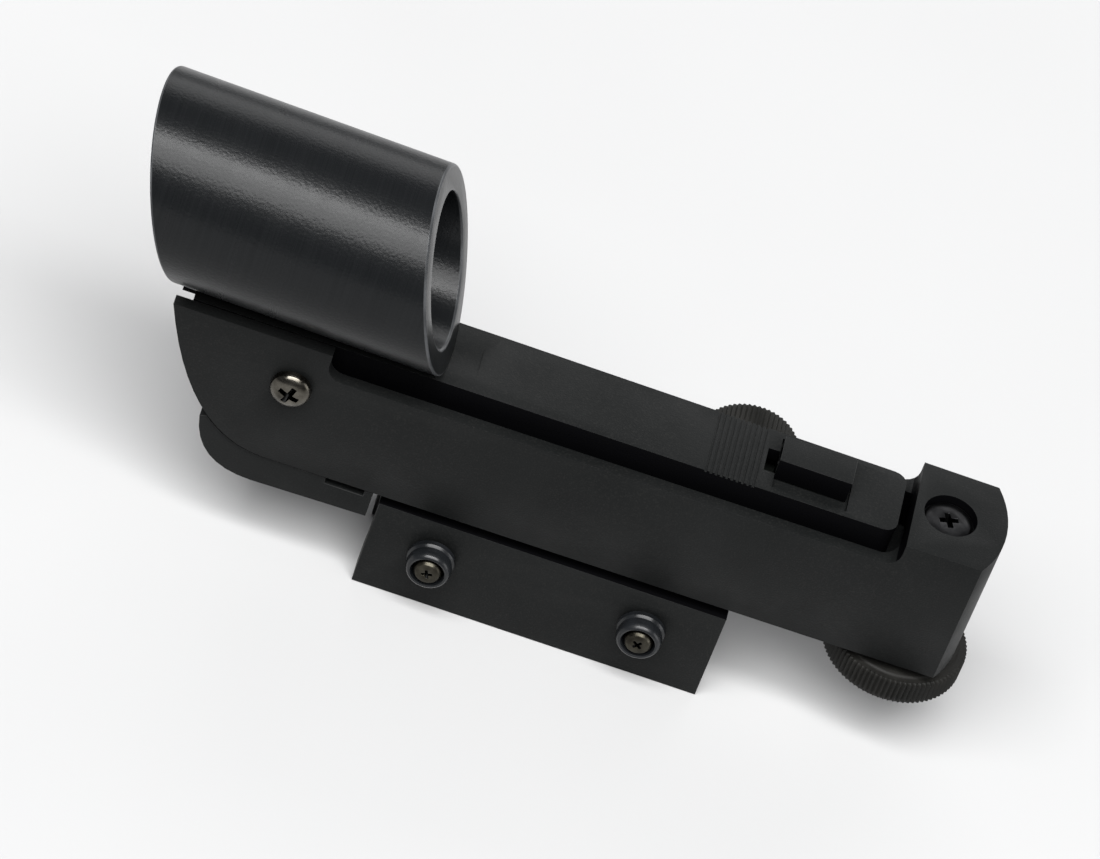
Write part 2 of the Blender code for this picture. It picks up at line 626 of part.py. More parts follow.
def make_pivot():
    """The cross screw that the sight tilts on, its nut, and two thin washers."""
    face = half_width(PIVOT_X) + GAP
    end = (PIVOT_X, -face, PIVOT_Z)
    reach = 2 * face + 2.2
    dome = [(0, 2.2), (1.2, 2.1), (2.2, 1.7), (2.8, 1.0), (3.05, 0.2), (3.05, 0)]
    screw = turned(
        "pivot_screw", dome + [(1.5, 0), (1.5, -reach), (0, -reach)], end, (0, -1, 0), SCREW_BRIGHT,
        closed=False,
    )
    cut(screw, cross_recess("pivot_recess", (PIVOT_X, -face - 2.2, PIVOT_Z), (0, 1, 0), 1.75, 0.8, 1.3))
    nut = rod("pivot_nut", 3.1, (PIVOT_X, face, PIVOT_Z), (PIVOT_X, face + 2.3, PIVOT_Z), SCREW_BRIGHT, 6)
    cut(nut, rod("nut_bore", 1.8, (PIVOT_X, face - 1, PIVOT_Z), (PIVOT_X, face + 4, PIVOT_Z)))
    low = BEAM_HALF + GAP
    high = half_width(PIVOT_X) - WALL - GAP
    for side, name in ((-1, "near"), (1, "far")):
        ring = [(1.85, high), (4.0, high), (4.0, low), (1.85, low)]
        turned(f"pivot_washer_{name}", ring, (PIVOT_X, 0, PIVOT_Z), (0, side, 0), NYLON)


def make_tube():
    ring = [(BORE_RADIUS, 35), (TUBE_RADIUS, 35), (TUBE_RADIUS, -35), (BORE_RADIUS, -35)]
    back = (math.cos(TUBE_PITCH), 0, -math.sin(TUBE_PITCH))
    tube = turned("sight_tube", ring, tube_line(0), back, TUBE_BLACK, sides=72)
    keep_common(tube, slab("tube_ends", tube_ends(), -20, 20, "XZ"))
    cut(tube, rod("window_seat", SEAT_RADIUS, window_point(-30), window_point(2.5), sides=72))
    head_top = BEAM_TOP - 2.0 - GAP
    head_low = head_top - 1.8
    for end, x in tube_screws():
        cut(tube, rod(f"tube_thread_{end}", 1.6, (x, 0, 26), (x, 0, TUBE_SCREW_TOP + GAP)))
        screw = [(0, TUBE_SCREW_TOP), (1.3, TUBE_SCREW_TOP), (1.3, head_top), (2.6, head_top)]
        screw += [(2.6, head_low), (0, head_low)]
        screw = turned(f"tube_screw_{end}", screw, (x, 0, 0), (0, 0, 1), SCREW_BLACK, 20, closed=False)
        cut(screw, cross_recess(f"tube_recess_{end}", (x, 0, head_low), (0, 0, 1), 1.4, 0.6, 0.9))


def tube_ends():
    """The slanting ends: a leaning outline that the round tube is trimmed to."""
    front_lean = (TUBE_FRONT_HIGH - TUBE_FRONT_LOW) / (TUBE_HIGH - TUBE_LOW)
    back_lean = (TUBE_BACK_HIGH - TUBE_BACK_LOW) / (TUBE_HIGH - TUBE_LOW)
    spare = 5
    return [
        (TUBE_FRONT_LOW - spare * front_lean, TUBE_LOW - spare),
        (TUBE_BACK_LOW - spare * back_lean, TUBE_LOW - spare),
        (TUBE_BACK_HIGH + spare * back_lean, TUBE_HIGH + spare),
        (TUBE_FRONT_HIGH + spare * front_lean, TUBE_HIGH + spare),
    ]


def window_axis():
    """The window faces halfway between the LED and the eye, so the dot is sent along the tube."""
    drop = TUBE_MIDDLE[1] - LED_Z
    angle = math.atan2(drop, LED_X - WINDOW_X) / 2
    return Vector((math.cos(angle), 0, -math.sin(angle)))


def window_point(distance):
    centre_z = TUBE_MIDDLE[1] + (TUBE_MIDDLE[0] - WINDOW_X) * math.tan(TUBE_PITCH)
    return Vector((WINDOW_X, 0, centre_z)) + window_axis() * distance


def make_window():
    """A thin meniscus of equal curves, which bends no light that passes through it."""
    focus = math.hypot(LED_X - WINDOW_X, TUBE_MIDDLE[1] - LED_Z)
    sphere = 2 * focus
    steps = 4
    radii = [WINDOW_RADIUS * i / steps for i in range(steps + 1)]
    back = [(r, r**2 / (2 * sphere)) for r in radii]
    front = [(r, h - WINDOW_THICKNESS) for r, h in reversed(back)]
    start = window_point(1.6)
    turned("window_lens", back + front, start, window_axis(), WINDOW_GLASS, 48, closed=False)
    ring = [(10.3, -2.5), (WINDOW_RADIUS, -2.5), (WINDOW_RADIUS, -4.1), (10.9, -4.1)]
    turned("window_ring", ring, start, window_axis(), TUBE_BLACK, 48)


def make_light():
    low = HOOD_SEAT + GAP
    sides = (-HOOD_HALF, HOOD_HALF)
    hood = box("led_hood", (HOOD_FRONT, HOOD_BACK), sides, (low, HOOD_TOP), BODY_BLACK)
    cut(hood, rod("led_bore", 1.8, (HOOD_FRONT - 1, 0, LED_Z), (33.2, 0, LED_Z)))
    cut(hood, box("lead_room", (31.0, 33.2), (-1.9, 1.9), (low - 1, LED_Z)))
    dome = [(LED_RADIUS * math.sin(a), 1.5 - LED_RADIUS * math.cos(a)) for a in
            (0, math.radians(30), math.radians(60), math.radians(90))]
    lamp = dome + [(LED_RADIUS, 4.6), (0, 4.6)]
    led = turned("led", lamp, (LED_X, 0, LED_Z), (1, 0, 0), LED_RED, 20, closed=False)
    for side in (-1, 1):
        y = (side * 0.9 - 0.25, side * 0.9 + 0.25)
        join(led, box(f"led_leg_out_{side}", (30.5, 32.4), y, (LED_Z - 0.25, LED_Z + 0.25)))
        join(led, box(f"led_leg_down_{side}", (31.9, 32.4), y, (23.9, LED_Z + 0.2)))
    board_z = (22.3, 23.5)
    box("led_board", (20.2, 38.2), (-3.6, 3.6), board_z, BOARD_GREEN)


# ---------------------------------------------------------------- the adjusters


def make_azimuth_adjuster():
    """A cross screw held in the far wall. It threads through the post, so turning it swings
    the channel on the swivel screw."""
    start = (POST_X, 0, AZIMUTH_Z)
    far = (0, 1, 0)
    inner = half_width(POST_X) - WALL - GAP
    face = half_width(POST_X) + 0.4
    out = face + 5.6
    r = AZIMUTH_KNOB_RADIUS
    rod("azimuth_screw", 1.4, (POST_X, -6.3, AZIMUTH_Z), (POST_X, out - 2.3, AZIMUTH_Z), SCREW_BLACK)
    collar = [(1.7, inner), (2.5, inner), (2.5, inner - 0.6), (1.7, inner - 0.6)]
    turned("azimuth_collar", collar, start, far, SCREW_BLACK, 24)
    knob = [(0, out + 0.8), (r - 3.5, out + 0.6), (r - 1.0, out), (r, out - 0.8), (r, face + 0.6)]
    knob += [(r - 0.6, face), (1.7, face), (1.7, out - 2), (0, out - 2)]
    turned("azimuth_knob", knob, start, far, KNOB_BLACK, 48, closed=False)


def make_altitude_adjuster():
    """A screw down through the rear block. It threads through the tongue's nut, so turning the
    knob below lifts or lowers the back of the sight."""
    start = (ALTITUDE_X, 0, 0)
    up = (0, 0, 1)
    top = EAR_TOP - 0.9
    low, high = ALTITUDE_KNOB_LOW, ALTITUDE_KNOB_TOP
    floor = low + 0.7
    end = floor + GAP
    screw = [(0, top), (3.75, top), (3.75, top - 0.5), (1.75, top - 2.5), (1.75, end), (0, end)]
    screw = turned("altitude_screw", screw, start, up, SCREW_BLACK, closed=False)
    cut(screw, cross_recess("altitude_recess", (ALTITUDE_X, 0, top), up, 2.1, 0.9, 1.4))
    r = ALTITUDE_KNOB_RADIUS
    knob = [(0, floor), (2.05, floor), (2.05, high), (r - 0.6, high), (r, high - 0.6)]
    knob += [(r, low + 0.5), (r - 0.5, low), (0, low)]
    turned("altitude_knob", knob, start, up, KNOB_BLACK, 56, closed=False)
    washer_low, washer_high = high + GAP, CHANNEL_BOTTOM - GAP
    ring = [(2.1, washer_high), (5.5, washer_high), (5.5, washer_low), (2.1, washer_low)]
    turned("altitude_washer", ring, start, up, NYLON)
    nut = [(2.2, 19.4), (3.0, 19.4), (3.0, 17.5), (2.2, 17.5)]
    turned("altitude_nut", nut, start, up, BRASS, 24)


make_shoe()
make_swivel()
make_channel()
make_battery()
make_cover()
make_brightness_switch()
make_leads()
make_beam()
make_pivot()
make_tube()
make_window()
make_light()
make_azimuth_adjuster()
make_altitude_adjuster()
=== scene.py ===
# %% [markdown]
# # A red-dot finder scope
# A finder sits on top of a telescope and shows where it points. You look through the short
# tube, whose slanted window reflects a small red light back to your eye. The working model,
# with its sizes and joints, already exists. This lesson dresses it: fine edges, knurling,
# screw recesses, glass and the finish of each metal.

# %% Load the working model
import json
import math

import bmesh
import bpy
from mathutils import Matrix, Vector

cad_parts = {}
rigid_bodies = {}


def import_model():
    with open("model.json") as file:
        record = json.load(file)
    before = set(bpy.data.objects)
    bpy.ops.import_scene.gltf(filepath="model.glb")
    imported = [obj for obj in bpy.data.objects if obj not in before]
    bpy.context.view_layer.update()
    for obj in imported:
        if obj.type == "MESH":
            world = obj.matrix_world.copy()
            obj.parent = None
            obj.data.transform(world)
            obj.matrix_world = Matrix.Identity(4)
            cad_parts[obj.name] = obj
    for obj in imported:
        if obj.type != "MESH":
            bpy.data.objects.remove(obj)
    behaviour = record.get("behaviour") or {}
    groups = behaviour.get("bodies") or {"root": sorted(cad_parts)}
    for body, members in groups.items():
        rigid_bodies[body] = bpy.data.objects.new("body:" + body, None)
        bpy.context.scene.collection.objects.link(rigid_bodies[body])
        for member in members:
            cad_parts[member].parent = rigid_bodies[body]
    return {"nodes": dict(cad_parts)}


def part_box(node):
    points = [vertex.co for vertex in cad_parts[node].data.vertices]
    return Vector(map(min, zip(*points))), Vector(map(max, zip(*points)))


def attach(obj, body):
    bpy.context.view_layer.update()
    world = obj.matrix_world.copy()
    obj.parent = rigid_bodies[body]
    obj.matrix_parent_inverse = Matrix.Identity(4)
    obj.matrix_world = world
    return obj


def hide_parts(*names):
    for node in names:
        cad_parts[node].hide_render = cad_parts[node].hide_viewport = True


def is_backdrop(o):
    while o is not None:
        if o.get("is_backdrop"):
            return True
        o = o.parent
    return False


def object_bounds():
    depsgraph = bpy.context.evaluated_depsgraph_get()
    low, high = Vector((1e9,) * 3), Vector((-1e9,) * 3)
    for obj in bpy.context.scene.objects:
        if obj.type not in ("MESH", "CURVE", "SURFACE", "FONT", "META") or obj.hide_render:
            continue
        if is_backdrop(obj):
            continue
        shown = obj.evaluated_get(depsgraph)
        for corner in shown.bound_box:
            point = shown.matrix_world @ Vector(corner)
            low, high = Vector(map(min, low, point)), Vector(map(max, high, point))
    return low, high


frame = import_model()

MM = 0.001
CAD_LOW, CAD_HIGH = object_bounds()
print("working model, mm:", [round(s / MM, 1) for s in CAD_HIGH - CAD_LOW])

# %% [markdown]
# ## The camera
# The eye stands well above the object and looks square at its near side. A long lens fills
# the picture and keeps parallel edges nearly parallel, as in a catalogue picture. The camera
# is rolled, so the finder runs downhill to the right.

# %% Make the camera
EYE = Vector((-0.0551, -0.7334, 0.7146))
AIM = Vector((-0.0068, 0.0, 0.0195))
ROLL = math.radians(21.2)
LENS = 228

lens = bpy.data.cameras.new("camera")
lens.lens = LENS
lens.clip_start = 0.01
camera = bpy.data.objects.new("camera", lens)
bpy.context.scene.collection.objects.link(camera)
look = (AIM - EYE).to_track_quat("-Z", "Y").to_matrix().to_4x4()
camera.matrix_world = Matrix.Translation(EYE) @ look @ Matrix.Rotation(ROLL, 4, "Z")
bpy.context.scene.camera = camera
bpy.context.scene.view_settings.view_transform = "Standard"
print("camera at", round((AIM - EYE).length, 3), "m")

# %% [markdown]
# ## Light and floor
# Dark metal shows its shape by what it mirrors. One wide soft light high above the eye draws
# the long bright band down the tube, and a narrow one above it sharpens the band. A weak one
# behind gives the flat tops their shade, and one on the eye side edges the rear block. The
# pale floor lights the sides from below.

# %% Helper for soft lights
def soft_light(name, place, aim, size, power, colour=(1, 1, 1)):
    """A rectangular area light at place, facing aim. Its size is width and height in metres."""
    light = bpy.data.lights.new(name, "AREA")
    light.shape = "RECTANGLE"
    light.size, light.size_y = size
    light.energy = power
    light.color = colour
    made = bpy.data.objects.new(name, light)
    bpy.context.scene.collection.objects.link(made)
    made.location = place
    made.visible_camera = False
    made.rotation_euler = (Vector(aim) - Vector(place)).to_track_quat("-Z", "Y").to_euler()
    return made


# %% Put up the lights
MIDDLE = (CAD_LOW + CAD_HIGH) / 2
soft_light("key", (-0.1, -1.45, 2.62), MIDDLE, (3.2, 1.9), 172)
soft_light("upper", (-0.1, -0.93, 2.85), MIDDLE, (3.2, 0.5), 48)
soft_light("back", (0.0, 2.0, 1.1), MIDDLE, (2.6, 1.2), 20)
soft_light("eye_side", (1.9, -0.3, 0.4), MIDDLE, (1.0, 1.2), 12)
print("lights around", [round(c, 3) for c in MIDDLE])

# %% A dim sky for light, and a pale one for the eye
world = bpy.data.worlds.new("studio")
bpy.context.scene.world = world
world.use_nodes = True
tree = world.node_tree
sky = tree.nodes["Background"]
sky.inputs["Color"].default_value = (0.93, 0.95, 1.0, 1.0)
sky.inputs["Strength"].default_value = 0.2
backdrop = tree.nodes.new("ShaderNodeBackground")
backdrop.inputs["Color"].default_value = (0.82, 0.82, 0.83, 1.0)
seen = tree.nodes.new("ShaderNodeLightPath")
choice = tree.nodes.new("ShaderNodeMixShader")
tree.links.new(seen.outputs["Is Camera Ray"], choice.inputs["Fac"])
tree.links.new(sky.outputs["Background"], choice.inputs[1])
tree.links.new(backdrop.outputs["Background"], choice.inputs[2])
tree.links.new(choice.outputs["Shader"], tree.nodes["World Output"].inputs["Surface"])
print("sky strength", round(sky.inputs["Strength"].default_value, 2))

# %% [markdown]
# ## Building materials out of nodes
# Each finish is a Principled shader fed by patterns. The patterns read Object coordinates, so
# they stay on a piece when it moves. A few small helpers are enough: one makes a noise, two map
# it to values or colours, one turns it into fine relief, and one blends two colours.

# %% Node helpers
def start_material(name, colour, roughness, metallic=0.0):
    """A material with a Principled shader whose plain values are set on its own sockets."""
    made = bpy.data.materials.new(name)
    made.use_nodes = True
    shader = made.node_tree.nodes["Principled BSDF"]
    shader.inputs["Base Color"].default_value = (*colour, 1)
    shader.inputs["Roughness"].default_value = roughness
    shader.inputs["Metallic"].default_value = metallic
    return made, shader


def noise(made, scale, detail=4, stretch=(1, 1, 1)):
    """The value of a noise pattern on Object coordinates. stretch squeezes it along x, y or z."""
    nodes, links = made.node_tree.nodes, made.node_tree.links
    place = nodes.new("ShaderNodeTexCoord")
    fit = nodes.new("ShaderNodeMapping")
    fit.inputs["Scale"].default_value = stretch
    grain = nodes.new("ShaderNodeTexNoise")
    grain.inputs["Scale"].default_value = scale
    grain.inputs["Detail"].default_value = detail
    links.new(place.outputs["Object"], fit.inputs["Vector"])
    links.new(fit.outputs["Vector"], grain.inputs["Vector"])
    return grain.outputs["Fac"]


def map_values(made, value, low, high, start=0.3, end=0.7):
    """Maps a pattern from start..end to low..high."""
    fit = made.node_tree.nodes.new("ShaderNodeMapRange")
    for name, number in (("From Min", start), ("From Max", end), ("To Min", low), ("To Max", high)):
        fit.inputs[name].default_value = number
    made.node_tree.links.new(value, fit.inputs["Value"])
    return fit.outputs["Result"]


def map_colours(made, value, dark, light, start=0.3, end=0.7):
    """Maps a pattern to the colours between dark and light."""
    ramp = made.node_tree.nodes.new("ShaderNodeValToRGB")
    ramp.color_ramp.elements[0].position = start
    ramp.color_ramp.elements[1].position = end
    ramp.color_ramp.elements[0].color = (*dark, 1)
    ramp.color_ramp.elements[1].color = (*light, 1)
    made.node_tree.links.new(value, ramp.inputs["Fac"])
    return ramp.outputs["Color"]


def relief(made, shader, value, depth, strength=1.0, under=None):
    """Fine relief from a pattern, depth metres high, on top of an earlier relief if given."""
    bump = made.node_tree.nodes.new("ShaderNodeBump")
    bump.inputs["Strength"].default_value = strength
    bump.inputs["Distance"].default_value = depth
    made.node_tree.links.new(value, bump.inputs["Height"])
    if under is not None:
        made.node_tree.links.new(under, bump.inputs["Normal"])
    made.node_tree.links.new(bump.outputs["Normal"], shader.inputs["Normal"])
    return bump.outputs["Normal"]


def mix_colours(made, share, first, second):
    """Blends two colours. Each is a socket or a fixed colour."""
    mixer = made.node_tree.nodes.new("ShaderNodeMix")
    mixer.data_type = "RGBA"
    made.node_tree.links.new(share, mixer.inputs["Factor"])
    for socket, colour in ((mixer.inputs[6], first), (mixer.inputs[7], second)):
        if isinstance(colour, tuple):
            socket.default_value = (*colour, 1)
        else:
            made.node_tree.links.new(colour, socket)
    return mixer.outputs[2]


# %% [markdown]
# ## Worn edges
# Black anodising rubs thin along edges first. When a piece's edges are rounded further down,
# the narrow new faces are marked in an attribute called "worn". This helper reads the mark,
# breaks it up with noise, and lets a little bare metal grey through.

# %% Helper for worn edges
def worn_edges(made, colour, bare, share=0.5):
    """The colour with bare metal showing along the marked faces, in patches."""
    nodes, links = made.node_tree.nodes, made.node_tree.links
    mark = nodes.new("ShaderNodeAttribute")
    mark.attribute_name = "worn"
    patches = map_values(made, noise(made, 160, 5), 0.15, share)
    both = nodes.new("ShaderNodeMath")
    both.operation = "MULTIPLY"
    links.new(mark.outputs["Fac"], both.inputs[0])
    links.new(patches, both.inputs[1])
    return mix_colours(made, both.outputs["Value"], colour, bare)


# %% [markdown]
# ## The matt black of the body
# The channel, shoe, beam and cover are cast or milled metal, bead-blasted and blackened. Close
# up it is a fine grain with soft cloudy changes of shade. Two noises do it: a large one for
# the clouds and a fine one for the grain, which also makes the relief. Painted shade goes on
# the faces marked "inner": between the walls, on the shoe's top and on the beam's and hood's
# sides. These faces go near black and reflect less.

# %% Helper for painted shade on inner faces
def painted_shade_faces(made, shader, colour, plain, deep):
    """Paints shade on the faces marked "inner": darkens them, and takes their specular level from
    plain to deep.
    """
    mark = made.node_tree.nodes.new("ShaderNodeAttribute")
    mark.attribute_name = "inner"
    level = map_values(made, mark.outputs["Fac"], plain, deep, 0, 1)
    made.node_tree.links.new(level, shader.inputs["Specular IOR Level"])
    # painted shade: the marked faces blend to near black
    return mix_colours(made, mark.outputs["Fac"], colour, (0.0016, 0.0016, 0.0019))


# %% Body black
def body_black():
    made, shader = start_material("body_black_blasted", (0.009, 0.009, 0.009), 0.5)
    dark, light = (0.0048, 0.0053, 0.0053), (0.0078, 0.0083, 0.0083)
    clouds = map_colours(made, noise(made, 45, 3), dark, light)
    grain = noise(made, 3800, 3)
    speckle = map_values(made, grain, 0.0, 0.55, 0.52, 0.75)
    colour = mix_colours(made, speckle, clouds, (0.017, 0.017, 0.016))
    worn = worn_edges(made, colour, (0.05, 0.05, 0.049))
    # painted shade on the faces marked "inner"
    deep = painted_shade_faces(made, shader, worn, 0.1, 0.015)
    made.node_tree.links.new(deep, shader.inputs["Base Color"])
    rough = map_values(made, noise(made, 130, 4), 0.43, 0.56)
    made.node_tree.links.new(rough, shader.inputs["Roughness"])
    clumps = relief(made, shader, noise(made, 1100, 2), 0.00003, 0.5)
    relief(made, shader, grain, 0.00004, 0.8, clumps)
    return made


BODY = body_black()
print("made", BODY.name)

# %% [markdown]
# ## The satin black of the tube
# The tube was turned on a lathe and then anodised to a satin, so it has a fine grain that
# breaks up its highlight, over faint rings. A noise stretched hard across the tube's axis gives
# the rings, in the colour and a very weak relief.

# %% Tube black
def tube_black():
    made, shader = start_material("tube_black_turned", (0.009, 0.0095, 0.01), 0.28)
    rings = noise(made, 1.0, 5, stretch=(5200, 40, 40))
    broad = noise(made, 1.0, 3, stretch=(420, 12, 12))
    colour = map_colours(made, rings, (0.0036, 0.0041, 0.0046), (0.0056, 0.0062, 0.0068))
    worn = worn_edges(made, colour, (0.085, 0.088, 0.092), 0.8)
    made.node_tree.links.new(worn, shader.inputs["Base Color"])
    rough = map_values(made, broad, 0.27, 0.3)
    made.node_tree.links.new(rough, shader.inputs["Roughness"])
    shader.inputs["Specular IOR Level"].default_value = 0.19
    speckle = relief(made, shader, noise(made, 2000, 2), 0.00004, 0.8)
    relief(made, shader, rings, 0.000001, 0.15, speckle)
    return made


TUBE = tube_black()
print("made", TUBE.name)

# %% [markdown]
# ## Knobs, bushes and screws
# The knobs are the same black, a little warmer where fingers dull them. The two bushes are
# polished and dipped, so they are glossy. The screws are dull nickel, warmer than steel, with
# small stains and fine scratches, and their recesses get painted shade.

# %% Knob black and bush black
def knob_black():
    made, shader = start_material("knob_black_matt", (0.011, 0.011, 0.01), 0.5)
    clouds = noise(made, 220, 4)
    colour = map_colours(made, clouds, (0.006, 0.006, 0.0054), (0.0125, 0.012, 0.0108))
    worn = worn_edges(made, colour, (0.05, 0.049, 0.046))
    made.node_tree.links.new(worn, shader.inputs["Base Color"])
    shader.inputs["Specular IOR Level"].default_value = 0.13
    made.node_tree.links.new(map_values(made, clouds, 0.44, 0.6), shader.inputs["Roughness"])
    relief(made, shader, noise(made, 3000, 3), 0.00003, 0.6)
    return made


def bush_black():
    made, shader = start_material("bush_black_gloss", (0.012, 0.014, 0.018), 0.16)
    stains = noise(made, 260, 4)
    colour = map_colours(made, stains, (0.004, 0.0045, 0.005), (0.009, 0.01, 0.0115))
    made.node_tree.links.new(colour, shader.inputs["Base Color"])
    made.node_tree.links.new(map_values(made, stains, 0.2, 0.34), shader.inputs["Roughness"])
    shader.inputs["Specular IOR Level"].default_value = 0.32
    relief(made, shader, noise(made, 1500, 3), 0.00001, 0.5)
    return made


KNOB = knob_black()
BUSH = bush_black()
print("made", KNOB.name, "and", BUSH.name)


# %% Metals of the screws
def plated(name, dark, light, rough, grain=2200):
    """A plated metal with stains, scratches, faint relief and painted shade on the "inner" faces.
    """
    made, shader = start_material(name, light, rough[0], 1.0)
    stains = noise(made, 420, 5)
    colour = map_colours(made, stains, dark, light)
    mark = made.node_tree.nodes.new("ShaderNodeAttribute")
    mark.attribute_name = "inner"
    # painted shade: the recess faces marked "inner" go near black, which also hides their glint
    recess_painted_shade = mix_colours(made, mark.outputs["Fac"], colour, (0.004, 0.004, 0.004))
    made.node_tree.links.new(recess_painted_shade, shader.inputs["Base Color"])
    scratches = noise(made, 1.0, 4, stretch=(500, 500, 5200))
    made.node_tree.links.new(map_values(made, scratches, *rough), shader.inputs["Roughness"])
    fine = relief(made, shader, noise(made, grain, 3), 0.00001, 0.5)
    relief(made, shader, scratches, 0.000006, 0.5, fine)
    return made


NICKEL = plated("screw_nickel", (0.035, 0.032, 0.026), (0.15, 0.14, 0.12), (0.16, 0.3))
AGED = plated("screw_aged", (0.02, 0.018, 0.014), (0.075, 0.07, 0.055), (0.26, 0.42))
BLACK_STEEL = plated("screw_black_oxide", (0.015, 0.015, 0.016), (0.04, 0.04, 0.041), (0.3, 0.44))
BRASS = plated("turned_brass", (0.5, 0.34, 0.13), (0.78, 0.58, 0.27), (0.2, 0.36))
CELL = plated("cell_nickel", (0.5, 0.5, 0.49), (0.75, 0.75, 0.74), (0.14, 0.3))
print("made five plated metals")


# %% [markdown]
# ## Plastics, glass and the small inner pieces
# Washers are milky nylon, the leads have a glossy insulation, and the boards are lacquer over
# copper tracks: green for the control board, black for the lamp's. The window is coated glass:
# clear, with a coat that mirrors some red and amber light. A thin film on the shader's own
# socket gives that tint without any painting.

# %% Plastics and lacquer
def plastic(name, dark, light, rough, grain=900):
    made, shader = start_material(name, light, rough[0])
    shades = noise(made, 150, 4)
    made.node_tree.links.new(map_colours(made, shades, dark, light), shader.inputs["Base Color"])
    made.node_tree.links.new(map_values(made, shades, *rough), shader.inputs["Roughness"])
    relief(made, shader, noise(made, grain, 2), 0.00001, 0.4)
    return made


NYLON = plastic("nylon_milky", (0.5, 0.48, 0.41), (0.68, 0.66, 0.58), (0.38, 0.5))
LEAD_RED = plastic("insulation_red", (0.3, 0.012, 0.01), (0.5, 0.03, 0.02), (0.3, 0.42))
LEAD_DARK = plastic("insulation_black", (0.012, 0.012, 0.013), (0.03, 0.03, 0.032), (0.3, 0.42))


def board(name, lacquer, copper_tint):
    made, shader = start_material(name, lacquer, 0.3)
    tracks = made.node_tree.nodes.new("ShaderNodeTexVoronoi")
    tracks.distance = "MANHATTAN"
    tracks.feature = "F1"
    tracks.inputs["Scale"].default_value = 700
    place = made.node_tree.nodes.new("ShaderNodeTexCoord")
    made.node_tree.links.new(place.outputs["Object"], tracks.inputs["Vector"])
    copper = map_colours(made, tracks.outputs["Distance"], copper_tint, lacquer)
    made.node_tree.links.new(copper, shader.inputs["Base Color"])
    relief(made, shader, tracks.outputs["Distance"], 0.00003, 0.4)
    return made


BOARD = board("board_lacquer", (0.014, 0.1, 0.04), (0.05, 0.24, 0.08))
DARK_BOARD = board("board_black_lacquer", (0.006, 0.007, 0.006), (0.012, 0.014, 0.012))
print("made", NYLON.name, LEAD_RED.name, LEAD_DARK.name, BOARD.name, DARK_BOARD.name)


# %% Window glass and the red lamp
def window_glass():
    made, shader = start_material("window_coated_glass", (0.96, 0.9, 0.86), 0.015)
    shader.inputs["Transmission Weight"].default_value = 1.0
    shader.inputs["IOR"].default_value = 1.52
    shader.inputs["Thin Film Thickness"].default_value = 310
    shader.inputs["Thin Film IOR"].default_value = 1.9
    dust = noise(made, 900, 5)
    haze = map_values(made, dust, 0.01, 0.06, 0.55, 0.8)
    made.node_tree.links.new(haze, shader.inputs["Roughness"])
    return made


def lamp_red():
    made, shader = start_material("lamp_red_epoxy", (0.62, 0.02, 0.015), 0.08)
    shader.inputs["Transmission Weight"].default_value = 0.55
    shader.inputs["IOR"].default_value = 1.5
    shader.inputs["Coat Weight"].default_value = 0.4
    cloud = noise(made, 500, 3)
    colour = map_colours(made, cloud, (0.5, 0.012, 0.01), (0.72, 0.035, 0.02))
    made.node_tree.links.new(colour, shader.inputs["Base Color"])
    return made


GLASS = window_glass()
LAMP = lamp_red()
print("made", GLASS.name, "and", LAMP.name)


# %% Pale floor
def pale_floor():
    made, shader = start_material("floor_paper", (0.43, 0.43, 0.43), 0.7)
    shade = map_colours(made, noise(made, 6, 3), (0.42, 0.42, 0.42), (0.44, 0.44, 0.44))
    made.node_tree.links.new(shade, shader.inputs["Base Color"])
    relief(made, shader, noise(made, 900, 2), 0.00002, 0.3)
    return made


FLOOR_REACH = 3.0
sheet = bmesh.new()
bmesh.ops.create_grid(sheet, x_segments=1, y_segments=1, size=FLOOR_REACH)
bmesh.ops.translate(sheet, vec=(0, 0, CAD_LOW.z - 0.0001), verts=sheet.verts)
floor_mesh = bpy.data.meshes.new("floor")
sheet.to_mesh(floor_mesh)
sheet.free()
floor_mesh.materials.append(pale_floor())
floor = bpy.data.objects.new("floor", floor_mesh)
bpy.context.scene.collection.objects.link(floor)
floor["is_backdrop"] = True
print("floor at z", round(CAD_LOW.z / MM, 2), "mm")

# %% [markdown]
# ## Helpers for the pieces
# Most of this object was turned on a lathe or milled. A turned piece is a profile spun about
# an axis. A milled piece starts as the working model's solid, copied and merged, then every
# hard edge is rounded, because a perfectly sharp edge never catches the light.

# %% Put a finished mesh into the scene
def add_piece(name, shape, finish, body, slot, *nodes):
    """Makes an object from the bmesh, which rides on the body and stands for the CAD nodes."""
    mesh = bpy.data.meshes.new(name)
    shape.to_mesh(mesh)
    shape.free()
    mesh.shade_smooth()
    mesh.set_sharp_from_angle(angle=math.radians(32))
    mesh.materials.append(finish)
    made = bpy.data.objects.new(name, mesh)
    bpy.context.scene.collection.objects.link(made)
    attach(made, body)
    if nodes:
        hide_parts(*nodes)
    print(f"{name}: {len(mesh.polygons)} faces")
    return made


# %% Round a shape's hard edges
def round_edges(shape, width, segments=3, hard=34):
    """Merges flat triangles into whole faces, rounds the hard edges and marks them as worn."""
    bmesh.ops.remove_doubles(shape, verts=shape.verts, dist=1e-6)
    flat = math.radians(1.5)
    bmesh.ops.dissolve_limit(shape, angle_limit=flat, verts=shape.verts, edges=shape.edges)
    limit = math.radians(hard)
    worn = shape.faces.layers.float.new("worn")
    edges = [e for e in shape.edges if e.is_manifold and e.calc_face_angle() > limit]
    done = bmesh.ops.bevel(
        shape,
        geom=edges,
        offset=width,
        segments=segments,
        profile=0.5,
        affect="EDGES",
        material=-1,
        clamp_overlap=True,
        loop_slide=True,
    )
    for face in done["faces"]:
        face[worn] = 1.0
    return len(done["faces"])


def rounded_copy(node, width, finish, body, slot, is_painted_shade, segments=3):
    """The working model's solid again, with its edges rounded and its faces for painted shade
    marked "inner".
    """
    shape = bmesh.new()
    shape.from_mesh(frame["nodes"][node].data)
    rounded = round_edges(shape, width, segments)
    inner = shape.faces.layers.float.new("inner")
    for face in shape.faces:
        face[inner] = float(is_painted_shade(face.calc_center_median(), face.normal))
    print(f"{node}: {rounded} edge faces")
    return add_piece(f"{node}_milled", shape, finish, body, slot, node)


